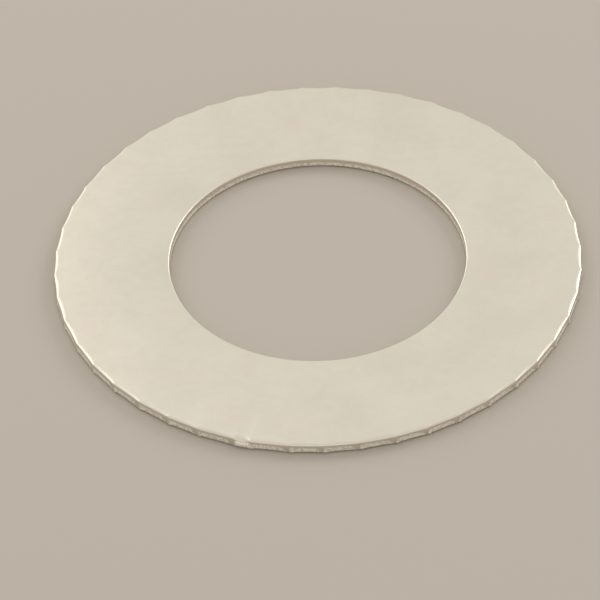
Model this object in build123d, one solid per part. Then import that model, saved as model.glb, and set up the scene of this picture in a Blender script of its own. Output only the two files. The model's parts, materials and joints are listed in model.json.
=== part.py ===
"""Shim ring: one flat sheet-metal ring with a punched bore and a nibbled outer edge.

The ring lies flat on its burr side. The origin is the bore's centre on that resting face, and +Z
runs along the bore's axis, out of the face that the punches entered. Sizes are in millimetres and
angles in degrees, counted from +X towards +Y.

The bore is one clean hit. The outside is nibbled out of a larger sheet by a punch with a slightly
rounded face that steps round the ring. Each hit leaves one shallow, nearly flat bite, two bites
meet in an upright cusp, and the last hit falls short where the round closes on the first.
"""

import math
import os

from build123d import *

# Ring
outer_diameter = 80.0        # over the cusps
bore_diameter = 45.0
thickness = 1.5

# Nibbled outer edge
punch_face_radius = 82.0     # roundness of the punch's long face, which takes the bites
punch_feed = 5.29            # arc length from one hit to the next
start_angle = 258.0          # direction of the first hit
closing_gap_ratio = 1.525    # from the last full hit to the first one, over the usual step
closing_shortfall = 0.16     # how much less deep the closing hit goes
drift_angle = 0.44           # slow drift of the hits, to either side
drift_phase_angle = 160.0    # where the drift starts
drift_count = 36.0           # hits in one whole drift
ripple_angle = 0.28          # quicker ripple of the hits, to either side
ripple_count = 11.0          # hits in one whole ripple
depth_ripple = 0.02          # how much hits vary in depth, to either side
depth_count = 3.7            # hits in one whole ripple of the depth

# Die roll, where the punch draws the upper face down
roll_width = 0.5
roll_depth = 0.3
roll_at_cusp = 0.1           # what is left of its width where two bites meet
bore_roll_width = 0.3
bore_roll_depth = 0.2

# Fracture, where the lower part of the outer wall broke instead of being cut
fracture_height = 0.95
fracture_lean = 0.05         # how far the wall's foot lies inside its cut part

# Allowance by which every cutter runs past what it cuts
overrun = 1.0


def on_circle(radius: float, direction: float) -> Vector:
    """Return the point of the resting plane at a radius and direction from the bore's axis."""
    angle = math.radians(direction)
    return Vector(radius * math.cos(angle), radius * math.sin(angle), 0)


def full_hit_directions() -> list[float]:
    """Return the directions of the hits that go to full depth, in the order they fall."""
    count = round(math.pi * outer_diameter / punch_feed - closing_gap_ratio + 1)
    step = 360 / (count - 1 + closing_gap_ratio)
    directions = []
    for hit in range(count):
        drift_turn = math.tau * hit / drift_count + math.radians(drift_phase_angle)
        ripple_turn = math.tau * hit / ripple_count
        wander = drift_angle * math.sin(drift_turn) + ripple_angle * math.cos(ripple_turn)
        directions.append(start_angle + step * hit + wander)
    return directions


def punch_centres() -> list[Vector]:
    """Return where the punch stands at each hit, so that the cusps lie on the outer diameter."""
    directions = full_hit_directions()
    half_step = math.radians((directions[-1] - directions[0]) / (len(directions) - 1) / 2)
    outer_radius = outer_diameter / 2
    reach = outer_radius * math.cos(half_step) + math.sqrt(
        punch_face_radius**2 - (outer_radius * math.sin(half_step)) ** 2
    )
    centres = []
    for hit, direction in enumerate(directions):
        unevenness = depth_ripple * math.sin(math.tau * hit / depth_count)
        centres.append(on_circle(reach + unevenness, direction))
    closing_direction = (directions[-1] + directions[0] + 360) / 2
    centres.append(on_circle(reach + closing_shortfall, closing_direction))
    return centres


def cusp_between(first: Vector, second: Vector) -> Vector:
    """Return the crossing, on the ring's side, of the circles of two hits."""
    gap = second - first
    rise = math.sqrt(punch_face_radius**2 - (gap.length / 2) ** 2)
    inwards = Vector(0, 0, 1).cross(gap.normalized())
    return (first + second) / 2 + inwards * rise


def bites() -> list[tuple[Vector, Vector, Vector]]:
    """Return each bite as its first cusp, the floor of its hollow and its second cusp."""
    centres = punch_centres()
    count = len(centres)
    found = []
    for hit, centre in enumerate(centres):
        floor = centre - centre.normalized() * punch_face_radius
        before = cusp_between(centres[hit - 1], centre)
        after = cusp_between(centre, centres[(hit + 1) % count])
        found.append((before, floor, after))
    return found


def roll_cutter(edge: Vector, radius: float, width: float, depth: float) -> Part:
    """Make the cutter that rounds the upper face down towards a punched edge.

    Its arc leaves the upper face level, and goes on past the edge halfway to upright.

    Args:
        edge: Axis of the cutter, given by its point in the resting plane.
        radius: Radius at which the roll leaves the upper face.
        width: Width of the roll, measured towards the cutter's axis.
        depth: How far the roll has dropped at that width.
    """
    roll_radius = (width**2 + depth**2) / (2 * depth)
    slope_at_edge = 2 * math.degrees(math.atan(depth / width))
    sweep = (slope_at_edge + 90) / 2
    lowest = thickness - roll_radius * (1 - math.cos(math.radians(sweep)))
    innermost = radius - roll_radius * math.sin(math.radians(sweep))
    with BuildPart() as cutter:
        with BuildSketch(Plane.XZ):
            with BuildLine():
                CenterArc((radius, thickness - roll_radius), roll_radius, 90, sweep)
                Polyline(
                    (innermost, lowest),
                    (0, lowest),
                    (0, thickness + overrun),
                    (radius, thickness + overrun),
                    (radius, thickness),
                )
            make_face()
        revolve(axis=Axis.Z)
    return cutter.part.moved(Location(edge))


def bite_cutter(centre: Vector) -> Part:
    """Make the cutter of one bite: an upright cut wall above a broken wall that leans inwards."""
    lean_slope = fracture_lean / fracture_height
    with BuildPart() as cutter:
        with BuildSketch(Plane.XZ):
            Polygon(
                (0, -overrun),
                (punch_face_radius + fracture_lean + overrun * lean_slope, -overrun),
                (punch_face_radius, fracture_height),
                (punch_face_radius, thickness + overrun),
                (0, thickness + overrun),
                align=None,
            )
        revolve(axis=Axis.Z)
    return cutter.part.moved(Location(centre))


def bite_roll_cutter(before: Vector, floor: Vector, after: Vector) -> Part:
    """Make the roll cutter of one bite: full width at its floor, nearly gone at its cusps."""
    rim = ThreePointArc(
        before - before.normalized() * roll_at_cusp,
        floor - floor.normalized() * roll_width,
        after - after.normalized() * roll_at_cusp,
    )
    return roll_cutter(rim.arc_center, rim.radius, roll_width, roll_depth)


def sheet_disc() -> Part:
    """Make the sheet under the bites, wide enough to reach past every cusp."""
    with BuildPart() as sheet:
        Cylinder(
            outer_diameter / 2 + overrun,
            thickness,
            align=(Align.CENTER, Align.CENTER, Align.MIN),
        )
    return sheet.part


def bore_cutter() -> Part:
    """Make the punch of the bore, with the roll at its upper edge."""
    with BuildPart() as cutter:
        with Locations((0, 0, thickness / 2)):
            Cylinder(bore_diameter / 2, thickness + 2 * overrun)
        add(
            roll_cutter(
                Vector(0, 0, 0),
                bore_diameter / 2 + bore_roll_width,
                bore_roll_width,
                bore_roll_depth,
            )
        )
    return cutter.part


def shim_ring() -> Part:
    """Make the finished ring: the bore and the bites first, then the roll of one bite at a time."""
    ring = sheet_disc() - [bore_cutter()] - [bite_cutter(centre) for centre in punch_centres()]
    for bite in bites():
        ring -= bite_roll_cutter(*bite)
    return ring


os.makedirs("parts", exist_ok=True)
export_step(shim_ring(), "parts/shim_ring.step")
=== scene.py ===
"""Looks of the shim ring: the sheet's finish, its nibbled edge, and a plain studio round it.

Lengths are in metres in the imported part's frame: the ring lies on the floor with the bore's axis
along +Z, and the die roll is up. Angles are in degrees, counted from +X towards +Y, unless a name
says radians.
"""

import json
import logging
import math
from dataclasses import dataclass
from enum import Enum, auto

import bmesh
import bpy
from mathutils import Matrix, Vector, noise

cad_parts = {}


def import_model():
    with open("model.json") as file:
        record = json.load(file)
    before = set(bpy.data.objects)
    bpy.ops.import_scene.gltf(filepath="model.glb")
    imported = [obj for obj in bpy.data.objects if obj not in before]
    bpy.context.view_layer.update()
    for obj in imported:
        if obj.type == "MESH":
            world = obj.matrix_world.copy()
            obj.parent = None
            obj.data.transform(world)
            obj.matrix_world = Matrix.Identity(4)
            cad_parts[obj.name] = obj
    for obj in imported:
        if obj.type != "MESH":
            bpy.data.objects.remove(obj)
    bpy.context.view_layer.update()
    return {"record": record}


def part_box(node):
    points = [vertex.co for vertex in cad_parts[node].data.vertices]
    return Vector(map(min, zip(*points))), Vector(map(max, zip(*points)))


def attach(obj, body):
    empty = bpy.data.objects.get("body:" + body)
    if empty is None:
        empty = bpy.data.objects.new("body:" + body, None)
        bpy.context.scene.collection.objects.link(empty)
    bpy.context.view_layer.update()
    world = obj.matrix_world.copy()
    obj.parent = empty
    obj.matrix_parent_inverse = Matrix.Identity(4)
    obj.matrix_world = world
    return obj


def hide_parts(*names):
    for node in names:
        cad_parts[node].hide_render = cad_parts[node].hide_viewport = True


LOG = logging.getLogger("shim_ring")
MM = 0.001

Colour = tuple[float, float, float]


def linear(red: int, green: int, blue: int) -> Colour:
    """Turn a display colour in steps of 0 to 255 into the linear values that shaders take."""

    def channel(value: int) -> float:
        """Linearise one channel."""
        share = value / 255
        return share / 12.92 if share <= 0.04045 else ((share + 0.055) / 1.055) ** 2.4

    return channel(red), channel(green), channel(blue)


# ---------------------------------------------------------------------------------------------
# Shader maths


class Signal:
    """A node's output socket that takes part in arithmetic by adding Math nodes."""

    def __init__(self, graph: "Graph", socket: bpy.types.NodeSocket) -> None:
        """Wrap a socket of a graph."""
        self.graph = graph
        self.socket = socket

    def _math(self, operation: str, *values: "Signal | float") -> "Signal":
        """Add one Math node and return its output."""
        return self.graph.add("ShaderNodeMath", {"operation": operation}, dict(enumerate(values)))

    def __add__(self, other: "Signal | float") -> "Signal":
        """Return self + other."""
        return self._math("ADD", self, other)

    def __radd__(self, other: float) -> "Signal":
        """Return other + self."""
        return self._math("ADD", other, self)

    def __sub__(self, other: "Signal | float") -> "Signal":
        """Return self - other."""
        return self._math("SUBTRACT", self, other)

    def __mul__(self, other: "Signal | float") -> "Signal":
        """Return self * other."""
        return self._math("MULTIPLY", self, other)

    def __rmul__(self, other: float) -> "Signal":
        """Return other * self."""
        return self._math("MULTIPLY", other, self)

    def ramp(self, low: float, high: float) -> "Signal":
        """Return 0 at low and 1 at high, with a smooth rise between.

        Args:
            low: Value at which the ramp leaves 0.
            high: Value at which it reaches 1.

        Returns:
            The ramp's value.
        """
        return self.graph.add(
            "ShaderNodeMapRange",
            {"interpolation_type": "SMOOTHSTEP"},
            {"Value": self, "From Min": low, "From Max": high},
        )


class Graph:
    """The node tree of one material or world, built by calls."""

    def __init__(self, tree: bpy.types.NodeTree) -> None:
        """Start from an empty tree."""
        self.tree = tree
        self.tree.nodes.clear()

    def add(
        self,
        kind: str,
        settings: dict[str, object] | None = None,
        values: dict[str | int, object] | None = None,
        output: str | int = 0,
    ) -> Signal:
        """Add a node of any kind.

        Args:
            kind: The node's type.
            settings: Its properties, set first.
            values: Input sockets by name or number, each a Signal to link or a value to set.
            output: The output socket to return.

        Returns:
            That output as a Signal.
        """
        node = self.tree.nodes.new(kind)
        for name, value in (settings or {}).items():
            setattr(node, name, value)
        for name, value in (values or {}).items():
            socket = node.inputs[name]
            if isinstance(value, Signal):
                self.tree.links.new(value.socket, socket)
            else:
                socket.default_value = value
        return Signal(self, node.outputs[output]) if node.outputs else Signal(self, None)

    def place(self, turn: float = 0.0, stretch: tuple[float, float, float] = (1, 1, 1)) -> Signal:
        """Return object coordinates in millimetres, turned about Z and stretched.

        Args:
            turn: Degrees by which the pattern turns about Z.
            stretch: How much finer the pattern is along each axis.

        Returns:
            The coordinates.
        """
        spot = self.add("ShaderNodeTexCoord", output="Object")
        turned = self.add(
            "ShaderNodeMapping",
            {"vector_type": "POINT"},
            {"Vector": spot, "Rotation": (0.0, 0.0, math.radians(turn))},
        )
        return self.add(
            "ShaderNodeMapping",
            {"vector_type": "POINT"},
            {"Vector": turned, "Scale": tuple(share / MM for share in stretch)},
        )

    def noise(self, spot: Signal, grain: float, detail: float = 2.0, offset: float = 0.0) -> Signal:
        """Return noise round 0.5.

        Args:
            spot: Coordinates in millimetres.
            grain: Size of the largest lumps, in millimetres.
            detail: How many finer layers there are.
            offset: Shift that gives an independent pattern.

        Returns:
            The noise's value.
        """
        moved = self.add("ShaderNodeVectorMath", {"operation": "ADD"}, {0: spot, 1: (offset,) * 3})
        return self.add(
            "ShaderNodeTexNoise",
            {"noise_dimensions": "3D"},
            {"Vector": moved, "Scale": 1 / grain, "Detail": detail, "Roughness": 0.55},
            "Fac",
        )

    def mix(self, share: Signal, first: object, second: object) -> Signal:
        """Mix two colours.

        Args:
            share: 0 gives the first colour and 1 the second.
            first: Colour or Signal.
            second: Colour or Signal.

        Returns:
            The mixed colour.
        """

        def rgba(value: object) -> object:
            """Give a plain colour its alpha."""
            return value if isinstance(value, Signal) else (*value, 1.0)

        return self.add(
            "ShaderNodeMix",
            {"data_type": "RGBA"},
            {"Factor": share, 6: rgba(first), 7: rgba(second)},
            2,
        )


# ---------------------------------------------------------------------------------------------
# Finishes


@dataclass(frozen=True)
class SheetMetalFinish:
    """Plain rolled sheet with a dull silver skin, a smooth cut land and a grainy broken wall.

    Sizes of the patterns are in millimetres.
    """

    skin: Colour = linear(226, 218, 200)
    worn: Colour = linear(220, 212, 194)
    flushed: Colour = linear(224, 211, 195)
    cut: Colour = linear(232, 223, 210)
    broken: Colour = linear(250, 245, 234)
    pitted: Colour = linear(230, 223, 210)
    roughness: float = 0.42
    grain_turn: float = 15.0
    blotch_size: float = 9.0
    small_blotch_size: float = 1.6
    flush_size: float = 5.0
    streak_size: float = 0.35
    bead_size: float = 0.22
    pit_size: float = 0.45

    def material(self) -> bpy.types.Material:
        """Build the material. Returns: the new material."""
        material = bpy.data.materials.new("rolled_sheet")
        material.use_nodes = True
        graph = Graph(material.node_tree)
        spot = graph.place()
        along_grain = graph.place(turn=self.grain_turn, stretch=(0.06, 1.0, 1.0))

        blotches = graph.noise(spot, self.blotch_size, detail=3.0)
        fine_blotches = graph.noise(spot, self.small_blotch_size, detail=3.0, offset=31.0)
        flush = graph.noise(spot, self.flush_size, detail=2.0, offset=67.0)
        streaks = graph.noise(along_grain, self.streak_size, detail=3.0, offset=11.0)
        beads = graph.noise(spot, self.bead_size, detail=2.0, offset=5.0)

        wear = (0.55 * blotches + 0.35 * fine_blotches + 0.1 * streaks).ramp(0.34, 0.66)
        skin = graph.mix(wear, self.skin, self.worn)
        skin = graph.mix(flush.ramp(0.52, 0.75) * 0.5, skin, self.flushed)

        land = graph.add("ShaderNodeAttribute", {"attribute_name": "cut"}, output="Fac")
        wall = graph.add("ShaderNodeAttribute", {"attribute_name": "broken"}, output="Fac")
        colour = graph.mix(land, skin, self.cut)
        pits = graph.noise(spot, self.pit_size, detail=3.0, offset=43.0).ramp(0.42, 0.62)
        colour = graph.mix(wall, colour, graph.mix(pits, self.broken, self.pitted))

        roughness = self.roughness + 0.10 * (fine_blotches - 0.5) + 0.03 * (streaks - 0.5)
        roughness = roughness - 0.06 * land + 0.34 * wall
        height = 0.75 * beads + 0.08 * streaks + 0.17 * fine_blotches
        bump = graph.add(
            "ShaderNodeBump",
            {},
            {"Strength": 0.25, "Distance": 0.02 * MM, "Height": height},
        )
        shader = graph.add(
            "ShaderNodeBsdfPrincipled",
            {},
            {"Base Color": colour, "Metallic": 1.0, "Roughness": roughness, "Normal": bump},
        )
        graph.add("ShaderNodeOutputMaterial", {}, {"Surface": shader})
        return material


@dataclass(frozen=True)
class PaperFinish:
    """Plain matt paper under the ring."""

    colour: Colour = linear(188, 179, 166)

    def material(self) -> bpy.types.Material:
        """Build the material. Returns: the new material."""
        material = bpy.data.materials.new("matt_paper")
        material.use_nodes = True
        graph = Graph(material.node_tree)
        shader = graph.add(
            "ShaderNodeBsdfPrincipled",
            {},
            {"Base Color": (*self.colour, 1.0), "Roughness": 0.95, "Specular IOR Level": 0.0},
        )
        graph.add("ShaderNodeOutputMaterial", {}, {"Surface": shader})
        return material


# ---------------------------------------------------------------------------------------------
# The nibbled edge


@dataclass(frozen=True)
class Bite:
    """One hollow that a hit of the punch left.

    Attributes:
        direction: Direction of the hit.
        reach: Distance of the punch's axis from the bore's axis.
        start: Direction of the cusp where the hollow begins.
        end: Direction of the cusp where it ends.
    """

    direction: float
    reach: float
    start: float
    end: float


@dataclass(frozen=True)
class EdgeShape:
    """The outer edge's section at one direction.

    Attributes:
        wall: Radius of the cut wall.
        roll_width: Width of the die roll.
        roll_depth: How far the roll drops.
        break_height: Height at which the cut land ends and the broken wall begins.
        burr: How far the burr at the foot sticks out.
        tear: How far the torn tab of the closing hit bulges.
    """

    wall: float
    roll_width: float
    roll_depth: float
    break_height: float
    burr: float
    tear: float


@dataclass
class NibbledEdge:
    """The outer edge: a ring of shallow bites, with die roll, cut land, broken wall and burrs.

    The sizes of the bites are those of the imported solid. A smooth patch without a broken wall lies
    before each cusp, a small burr behind it, and a torn tab stands at the closing hit.
    """

    outer_radius: float = 40.0 * MM
    punch_face_radius: float = 82.0 * MM
    punch_feed: float = 5.29 * MM
    start_angle: float = 258.0
    closing_gap_ratio: float = 1.525
    closing_shortfall: float = 0.16 * MM
    drift_angle: float = 0.44
    drift_phase_angle: float = 160.0
    drift_count: float = 36.0
    ripple_angle: float = 0.28
    ripple_count: float = 11.0
    depth_ripple: float = 0.02 * MM
    depth_count: float = 3.7
    roll_width: float = 0.58 * MM
    roll_depth: float = 0.3 * MM
    roll_at_cusp: float = 0.24 * MM
    break_height: float = 0.95 * MM
    break_raggedness: float = 0.12 * MM
    smooth_before_cusp: float = 0.95 * MM
    burr: float = 0.13 * MM
    burr_width: float = 0.3 * MM
    burr_offset: float = 0.8
    burr_raggedness: float = 0.012 * MM
    patch_share: float = 0.85
    least_break_height: float = 0.06 * MM
    roll_fullness: float = 0.6
    roll_unevenness: float = 0.25
    shallow_roll_ratio: float = 0.6
    closing_bite_ratio: float = 0.7
    tear_roll_ratio: float = 1.7
    tear_height: float = 1.0 * MM

    def bites(self) -> list[Bite]:
        """Work out every bite, in the order in which the punch took them."""
        count = round(math.tau * self.outer_radius / self.punch_feed - self.closing_gap_ratio + 1)
        step = 360 / (count - 1 + self.closing_gap_ratio)
        directions = []
        for hit in range(count):
            drift_turn = math.tau * hit / self.drift_count + math.radians(self.drift_phase_angle)
            ripple_turn = math.tau * hit / self.ripple_count
            wander = self.drift_angle * math.sin(drift_turn)
            wander += self.ripple_angle * math.cos(ripple_turn)
            directions.append(self.start_angle + step * hit + wander)
        half_step = math.radians((directions[-1] - directions[0]) / (count - 1) / 2)
        reach = self.outer_radius * math.cos(half_step) + math.sqrt(
            self.punch_face_radius**2 - (self.outer_radius * math.sin(half_step)) ** 2
        )
        reaches = [
            reach + self.depth_ripple * math.sin(math.tau * hit / self.depth_count)
            for hit in range(count)
        ]
        directions.append((directions[-1] + directions[0] + 360) / 2)
        reaches.append(reach + self.closing_shortfall)
        return self._joined(directions, reaches)

    def _joined(self, directions: list[float], reaches: list[float]) -> list[Bite]:
        """Find the cusps between neighbouring hits.

        Args:
            directions: Direction of each hit.
            reaches: Distance of the punch's axis at each hit.

        Returns:
            The bites, each with its two cusps.
        """
        centres = [self._point(reach, angle) for reach, angle in zip(reaches, directions)]
        cusps = []
        for before, after in zip(centres, centres[1:] + centres[:1]):
            gap = after - before
            rise = math.sqrt(self.punch_face_radius**2 - (gap.length / 2) ** 2)
            cusp = (before + after) / 2 + Vector((0, 0, 1)).cross(gap.normalized()) * rise
            cusps.append(math.degrees(math.atan2(cusp.y, cusp.x)) % 360)
        starts = cusps[-1:] + cusps[:-1]
        return [Bite(*facts) for facts in zip(directions, reaches, starts, cusps)]

    @staticmethod
    def _point(radius: float, angle: float) -> Vector:
        """Return the point of the resting plane at a radius and direction."""
        return Vector((math.cos(math.radians(angle)), math.sin(math.radians(angle)), 0)) * radius

    def shape(self, bite: Bite, angle: float) -> EdgeShape:
        """Work out the section in one bite.

        Args:
            bite: The bite that the direction lies in.
            angle: The direction, from the bite's start to its end.

        Returns:
            The section's sizes.
        """
        turn = math.radians(angle - bite.direction)
        wall = bite.reach * math.cos(turn) - math.sqrt(
            self.punch_face_radius**2 - (bite.reach * math.sin(turn)) ** 2
        )
        length = math.radians((bite.end - bite.start) % 360) * self.outer_radius
        passed = math.radians((angle - bite.start) % 360) * self.outer_radius
        left = length - passed
        fullness = (1 - (2 * passed / length - 1) ** 2) ** self.roll_fullness
        seed = self._point(self.outer_radius, angle) / MM
        width = self.roll_at_cusp + (self.roll_width - self.roll_at_cusp) * fullness
        width *= 1 + self.roll_unevenness * noise.noise(seed * 0.35 + Vector((7, 3, 1)))
        shallow = self.shallow_roll_ratio
        depth = self.roll_depth * (shallow + (1 - shallow) * fullness)
        smooth = math.exp(-((left / self.smooth_before_cusp) ** 4))
        ragged = noise.noise(seed * 0.9) + 0.6 * noise.noise(seed * 3.1)
        ragged *= self.break_raggedness
        height = (self.break_height + ragged) * (1 - self.patch_share * smooth)
        burr = self.burr * math.exp(-((passed / self.burr_width - self.burr_offset) ** 2))
        burr += self.burr_raggedness * (0.5 + noise.noise(seed * 2.3))
        is_closing = length < self.closing_bite_ratio * self.punch_feed
        tear = math.sin(math.pi * passed / length) ** 0.5 if is_closing else 0.0
        width *= 1 + (self.tear_roll_ratio - 1) * tear
        depth *= 1 + (self.tear_roll_ratio - 1) * tear
        if is_closing:
            height = self.tear_height + ragged
            burr += self.burr * math.exp(-((left / self.burr_width) ** 2))
        height = max(height, self.least_break_height)
        return EdgeShape(wall, width, depth, height, burr, tear)


# ---------------------------------------------------------------------------------------------
# The ring


class Zone(Enum):
    """Stretches of the ring's section, in order round it from the bore's upper edge outwards."""

    BORE_ROLL = auto()
    UPPER_FACE = auto()
    OUTER_ROLL = auto()
    OUTER_LAND = auto()
    OUTER_BREAK = auto()
    OUTER_FOOT = auto()
    LOWER_FACE = auto()
    BORE_FOOT = auto()
    BORE_BREAK = auto()
    BORE_LAND = auto()


@dataclass
class ShimRing:
    """The one piece: a section of zones, spun round the bore and shaped by its punched edges."""

    bore_radius: float
    thickness: float
    edge: NibbledEdge
    finish: SheetMetalFinish
    steps: int = 1920
    bore_roll_width: float = 0.24 * MM
    bore_roll_depth: float = 0.2 * MM
    bore_break_height: float = 0.82 * MM
    bore_lean: float = 0.02 * MM
    lean: float = 0.05 * MM
    foot: float = 0.06 * MM
    lower_margin: float = 0.15 * MM
    roll_cut_share: float = 0.3
    grain_depth: float = 0.022 * MM
    bore_break_raggedness: float = 0.12 * MM
    bore_grain_share: float = 0.6
    tear_bulge: float = 0.34 * MM

    LOOPS = {
        Zone.BORE_ROLL: 5,
        Zone.UPPER_FACE: 2,
        Zone.OUTER_ROLL: 6,
        Zone.OUTER_LAND: 3,
        Zone.OUTER_BREAK: 5,
        Zone.OUTER_FOOT: 2,
        Zone.LOWER_FACE: 2,
        Zone.BORE_FOOT: 1,
        Zone.BORE_BREAK: 4,
        Zone.BORE_LAND: 2,
    }

    def stations(self) -> list[tuple[Zone, float]]:
        """List the section's points, each as its zone and its share of the way along it."""
        return [(zone, loop / count) for zone, count in self.LOOPS.items() for loop in range(count)]

    def build(self) -> bpy.types.Object:
        """Spin the section, shape it and dress it. Returns: the finished object."""
        mesh = bpy.data.meshes.new("shim_ring_sheet")
        shell = bmesh.new()
        number = shell.verts.layers.int.new("station")
        first = shell.verts.new((self.bore_radius, 0, self.thickness))
        stations = self.stations()
        section = [first]
        for index in range(1, len(stations)):
            section.append(shell.verts.new((self.bore_radius + index * MM, 0, 0)))
        for index, vert in enumerate(section):
            vert[number] = index
        edges = [shell.edges.new(pair) for pair in zip(section, section[1:] + section[:1])]
        bmesh.ops.spin(
            shell,
            geom=section + edges,
            cent=(0, 0, 0),
            axis=(0, 0, 1),
            angle=math.tau,
            steps=self.steps,
            use_merge=True,
        )
        bmesh.ops.remove_doubles(shell, verts=shell.verts, dist=1e-7)
        self._shape(shell, number)
        bmesh.ops.recalc_face_normals(shell, faces=shell.faces)
        if shell.calc_volume(signed=True) < 0:
            bmesh.ops.reverse_faces(shell, faces=shell.faces)
        for face in shell.faces:
            face.smooth = True
        shell.to_mesh(mesh)
        shell.free()
        ring = bpy.data.objects.new("shim_ring_sheet", mesh)
        bpy.context.scene.collection.objects.link(ring)
        mesh.materials.append(self.finish.material())
        return ring

    def _shape(self, shell: bmesh.types.BMesh, number: object) -> None:
        """Move every vertex of the spun section to its place, and mark cut and broken metal.

        Args:
            shell: The spun mesh.
            number: Its layer of station numbers.
        """
        stations = self.stations()
        cut = shell.verts.layers.float.new("cut")
        broken = shell.verts.layers.float.new("broken")
        shapes = self._shapes()
        for vert in shell.verts:
            step = round(math.atan2(vert.co.y, vert.co.x) / math.tau * self.steps) % self.steps
            zone, share = stations[vert[number]]
            angle = math.tau * step / self.steps
            radius, height, vert[cut], vert[broken] = self._spot(zone, share, angle, shapes[step])
            vert.co = (radius * math.cos(angle), radius * math.sin(angle), height)

    def _shapes(self) -> list[EdgeShape]:
        """Work out the outer edge's section at every step of the spin."""
        bites = self.edge.bites()
        found = []
        for step in range(self.steps):
            angle = 360 * step / self.steps
            inside = [
                bite
                for bite in bites
                if (angle - bite.start) % 360 <= (bite.end - bite.start) % 360
            ]
            bite = min(inside, key=lambda bite: (angle - bite.start) % 360)
            found.append(self.edge.shape(bite, angle))
        return found

    def _roughness(self, radius: float, angle: float, height: float, seed: float) -> float:
        """Return how far broken metal stands out at a point.

        Args:
            radius: The point's radius.
            angle: Its direction in radians.
            height: Its height.
            seed: Number that sets one wall's grain apart from another's.

        Returns:
            The distance, to either side.
        """
        spot = Vector((radius * math.cos(angle), radius * math.sin(angle), height)) / MM
        coarse = noise.noise(spot * 1.9 + Vector((seed, 0, 0)))
        fine = noise.noise(spot * 4.7 + Vector((0, seed, 0)))
        return self.grain_depth * (coarse + 0.35 * fine)

    def _spot(
        self, zone: Zone, share: float, angle: float, edge: EdgeShape
    ) -> tuple[float, float, float, float]:
        """Place one point of the section.

        Args:
            zone: The zone it lies in.
            share: How far along the zone it lies.
            angle: Its direction in radians.
            edge: The outer edge's section there.

        Returns:
            Its radius, its height, and how much it is cut and broken metal.
        """
        top = self.thickness
        quarter = math.pi / 2 * share
        land_foot = max(edge.break_height, self.foot)
        if zone is Zone.BORE_ROLL:
            radius = self.bore_radius + self.bore_roll_width * (1 - math.cos(quarter))
            return radius, top - self.bore_roll_depth * (1 - math.sin(quarter)), 1 - share, 0.0
        if zone is Zone.UPPER_FACE:
            inner = self.bore_radius + self.bore_roll_width
            outer = edge.wall - edge.roll_width
            return inner + (outer - inner) * share, top, 0.0, 0.0
        if zone is Zone.OUTER_ROLL:
            radius = edge.wall - edge.roll_width * (1 - math.sin(quarter))
            return radius, top - edge.roll_depth * (1 - math.cos(quarter)), share * self.roll_cut_share, 0.0
        if zone is Zone.OUTER_LAND:
            upper = top - edge.roll_depth
            height = upper + (land_foot - upper) * share
            return edge.wall, height, 1.0, 0.0
        if zone is Zone.OUTER_BREAK:
            height = land_foot + (self.foot - land_foot) * share
            rough = self._roughness(edge.wall, angle, height, 0.0) * (1.0 if share else 0.3)
            bulge = self.tear_bulge * edge.tear * math.sin(math.pi * (0.2 + 0.6 * share))
            radius = edge.wall - self.lean * share + rough + bulge
            return radius, height, 0.0, 1.0 if share else 0.4
        if zone is Zone.OUTER_FOOT:
            radius = edge.wall - self.lean + edge.burr
            return (radius, self.foot * 0.4, 0.0, 0.8) if not share else (
                radius - self.foot * 1.4, 0.0, 0.0, 0.2)
        if zone is Zone.LOWER_FACE:
            outer = edge.wall - self.lean - self.lower_margin
            inner = self.bore_radius + self.lower_margin
            return outer + (inner - outer) * share, 0.0, 0.0, 0.0
        if zone is Zone.BORE_FOOT:
            return self.bore_radius + self.foot, 0.0, 0.0, 0.3
        if zone is Zone.BORE_BREAK:
            height = self.foot + (self._bore_break(angle) - self.foot) * share
            rough = self._roughness(self.bore_radius, angle, height, 9.0) * self.bore_grain_share
            radius = self.bore_radius + self.bore_lean * (1 - share) + abs(rough)
            return radius, height, 0.0, 1.0
        lower = self._bore_break(angle)
        upper = top - self.bore_roll_depth
        return self.bore_radius, lower + (upper - lower) * share, 1.0, 0.0

    def _bore_break(self, angle: float) -> float:
        """Return the height at which the bore's cut land begins, at a direction in radians."""
        spot = Vector((math.cos(angle), math.sin(angle), 0)) * self.bore_radius / MM
        return self.bore_break_height + self.bore_break_raggedness * noise.noise(spot * 0.8)


# ---------------------------------------------------------------------------------------------
# Studio and camera


@dataclass
class Softbox:
    """One large area lamp that faces the ring.

    Attributes:
        name: The lamp's name.
        bearing: Direction it stands in, seen from the ring.
        elevation: Its angle above the floor.
        distance: Its distance from the ring.
        size: Its width and height.
        strength: Its power in watts.
        colour: Its light's colour.
    """

    name: str
    bearing: float
    elevation: float
    distance: float
    size: tuple[float, float]
    strength: float
    colour: Colour = (1.0, 1.0, 1.0)

    def build(self) -> bpy.types.Object:
        """Make the lamp. Returns: the lamp."""
        lamp = bpy.data.lights.new(self.name, "AREA")
        lamp.shape = "RECTANGLE"
        lamp.size, lamp.size_y = self.size
        lamp.energy = self.strength
        lamp.color = self.colour
        holder = bpy.data.objects.new(self.name, lamp)
        bearing, elevation = math.radians(self.bearing), math.radians(self.elevation)
        outwards = Vector(
            (
                math.cos(bearing) * math.cos(elevation),
                math.sin(bearing) * math.cos(elevation),
                math.sin(elevation),
            )
        )
        holder.location = outwards * self.distance
        holder.rotation_euler = outwards.to_track_quat("Z", "Y").to_euler()
        bpy.context.scene.collection.objects.link(holder)
        return holder


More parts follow.
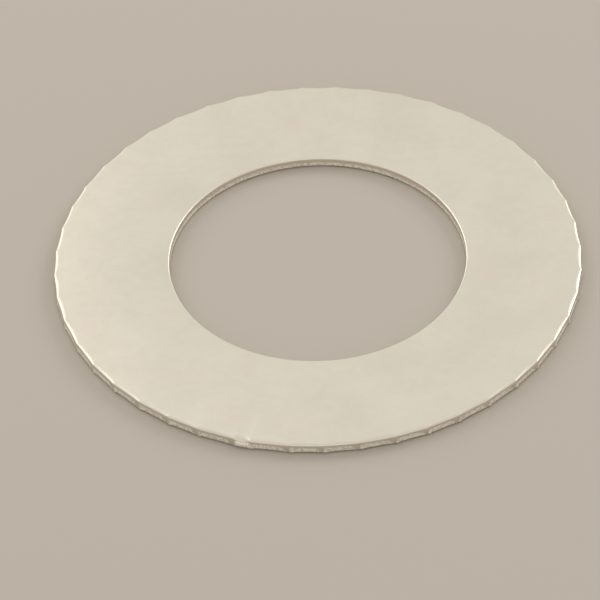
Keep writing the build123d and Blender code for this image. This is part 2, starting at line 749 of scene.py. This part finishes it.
@dataclass
class Studio:
    """A plain pale floor, a sky that is brighter behind and in front, and two soft lamps."""

    floor_side: float = 3.0
    floor_gap: float = 0.22 * MM
    sky: Colour = (1.0, 1.0, 1.0)
    sky_strength: float = 0.62
    backdrop_strength: float = 0.2
    backdrop_elevation: float = 46.0
    front_strength: float = 0.36
    front_elevation: float = 14.0
    paper: PaperFinish = PaperFinish()
    softboxes: tuple[Softbox, ...] = (
        Softbox("left_softbox", 137.0, 32.0, 0.9, (0.7, 0.6), 2.0),
        Softbox("right_softbox", 38.0, 28.0, 0.9, (0.5, 0.4), 2.2),
    )

    def build(self) -> None:
        """Make the floor, the lamps and the sky."""
        shell = bmesh.new()
        bmesh.ops.create_grid(shell, x_segments=1, y_segments=1, size=self.floor_side / 2)
        bmesh.ops.translate(shell, verts=shell.verts, vec=(0, 0, -self.floor_gap))
        mesh = bpy.data.meshes.new("floor")
        shell.to_mesh(mesh)
        shell.free()
        mesh.materials.append(self.paper.material())
        floor = bpy.data.objects.new("floor", mesh)
        bpy.context.scene.collection.objects.link(floor)
        for softbox in self.softboxes:
            softbox.build()
        world = bpy.data.worlds.new("studio_sky")
        world.use_nodes = True
        graph = Graph(world.node_tree)
        backdrop = self._facing(graph, 90.0, self.backdrop_elevation)
        front = self._facing(graph, -90.0, self.front_elevation)
        strength = self.sky_strength + self.backdrop_strength * backdrop.ramp(0.25, 0.95)
        strength = strength + self.front_strength * front.ramp(0.3, 1.0)
        light = graph.add(
            "ShaderNodeBackground", {}, {"Color": (*self.sky, 1.0), "Strength": strength}
        )
        graph.add("ShaderNodeOutputWorld", {}, {"Surface": light})
        bpy.context.scene.world = world

    @staticmethod
    def _facing(graph: Graph, bearing: float, elevation: float) -> Signal:
        """Return how nearly the sky's direction agrees with a given one.

        Args:
            graph: The world's graph.
            bearing: Bearing of the given direction.
            elevation: Its angle above the floor.

        Returns:
            The cosine of the angle between them.
        """
        turn, lift = math.radians(bearing), math.radians(elevation)
        aim = (math.cos(turn) * math.cos(lift), math.sin(turn) * math.cos(lift), math.sin(lift))
        return graph.add(
            "ShaderNodeVectorMath",
            {"operation": "DOT_PRODUCT"},
            {0: graph.add("ShaderNodeTexCoord", output="Generated"), 1: aim},
            "Value",
        )


@dataclass
class Viewpoint:
    """The camera, which looks down at the ring from the front.

    Attributes:
        target: Point that the camera looks at.
        distance: Its distance from that point.
        elevation: Its angle above the floor.
        roll: How far it is turned about its own axis.
        lens: Focal length in millimetres on a 36 mm wide sensor.
    """

    target: Vector
    distance: float = 540.1 * MM
    elevation: float = 43.425
    roll: float = -2.5
    lens: float = 216.5

    def build(self) -> None:
        """Make the camera and use it."""
        camera = bpy.data.cameras.new("camera")
        camera.lens = self.lens
        camera.sensor_width = 36.0
        camera.clip_start = 0.01
        holder = bpy.data.objects.new("camera", camera)
        elevation, roll = math.radians(self.elevation), math.radians(self.roll)
        back = Vector((0, -math.cos(elevation), math.sin(elevation)))
        level = Vector((1, 0, 0))
        upright = back.cross(level)
        across = math.cos(roll) * level + math.sin(roll) * upright
        up = math.cos(roll) * upright - math.sin(roll) * level
        turn = Matrix((across, up, back)).transposed().to_4x4()
        holder.matrix_world = Matrix.Translation(self.target + back * self.distance) @ turn
        bpy.context.scene.collection.objects.link(holder)
        bpy.context.scene.camera = holder


def main() -> None:
    """Build the ring, the studio and the camera, and log the ring's face count."""
    logging.basicConfig(level=logging.INFO, format="%(name)s: %(message)s")
    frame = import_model()
    mounts = {mount["name"]: mount for mount in frame["record"]["mounts"]}
    bore_radius = mounts["bore"]["dims"]["r_mm"] * MM
    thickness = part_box("shim_ring")[1].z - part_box("shim_ring")[0].z

    ring = ShimRing(bore_radius, thickness, NibbledEdge(), SheetMetalFinish()).build()
    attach(ring, "root")
    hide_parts("shim_ring")
    LOG.info("%s has %d faces", ring.name, len(ring.data.polygons))

    Studio().build()
    Viewpoint(Vector((-2.94 * MM, -9.44 * MM, thickness))).build()
    bpy.context.scene.view_settings.view_transform = "Standard"


if __name__ == "__main__":
    main()
